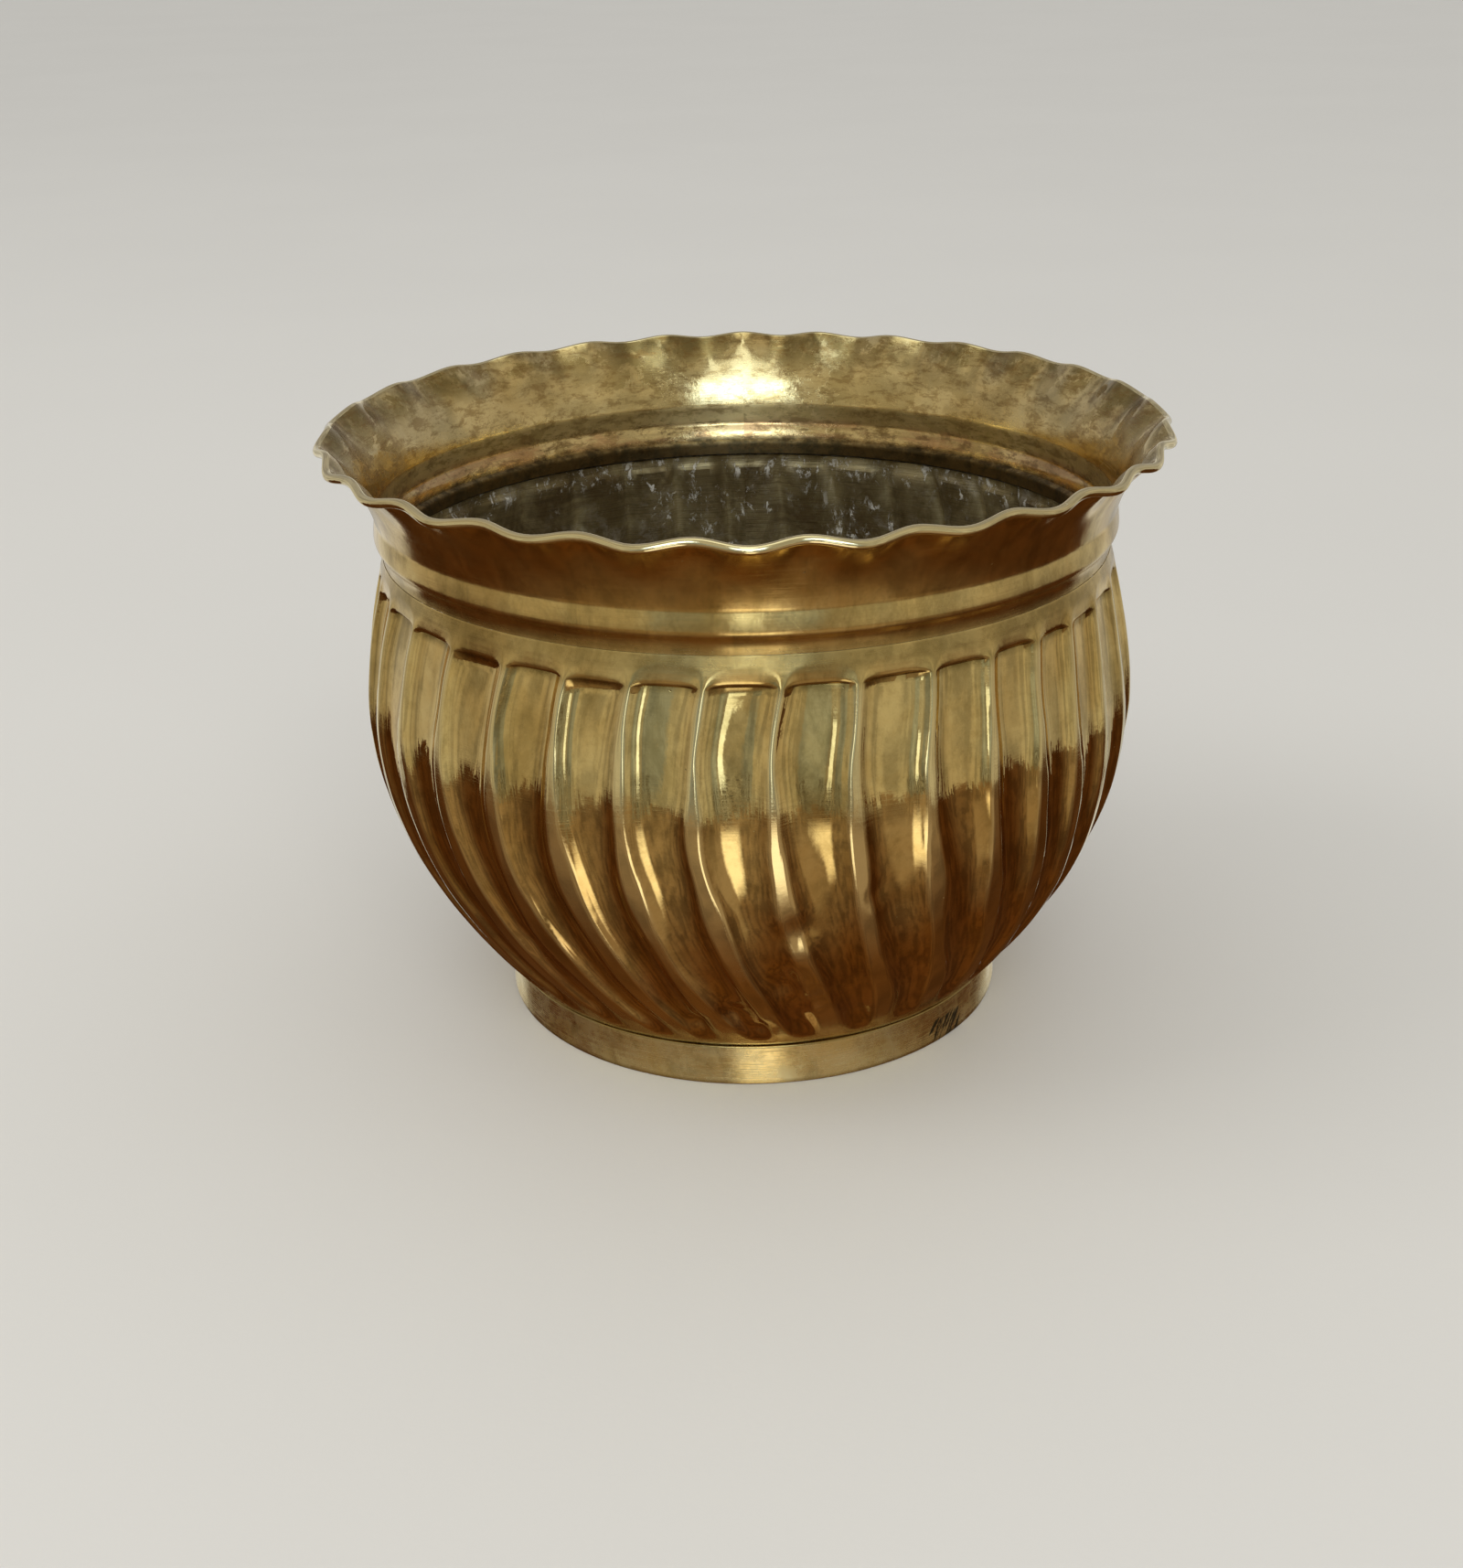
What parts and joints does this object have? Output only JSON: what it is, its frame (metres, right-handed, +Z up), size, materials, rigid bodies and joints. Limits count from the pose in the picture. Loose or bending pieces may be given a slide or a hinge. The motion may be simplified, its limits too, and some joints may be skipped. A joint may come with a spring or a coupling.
{
  "type": "brass planter pot",
  "caption": "Round-bellied brass planter pot with swirling hammered flutes, a moulded neck, a flared scalloped rim rolled over a wire, and a low foot ring.",
  "frame": {"origin": "centre of the foot ring's flat underside, on the pot's axis", "axes": "+Z up the pot's axis, out of its mouth; -Y is the front, where a rim lobe sits almost on the centre line; +X to the right seen from the front"},
  "size_m": [0.2994, 0.299, 0.2162],
  "materials": {
    "bowl": "polished, old and lightly tarnished",
    "neck_collar": "polished outside, mottled with tarnish inside",
    "foot_ring": "polished, worn",
    "rim_wire": "dark drawn wire",
    "neck_solder": "dull grey soft solder",
    "foot_solder": "dull grey soft solder"
  },
  "bodies": {
    "root": {"bowl": "bowl", "neck_collar": "neck_collar", "rim_wire": "rim_wire", "foot_ring": "foot_ring", "neck_solder": "neck_solder", "foot_solder": "foot_solder"}
  },
  "joints": []
}
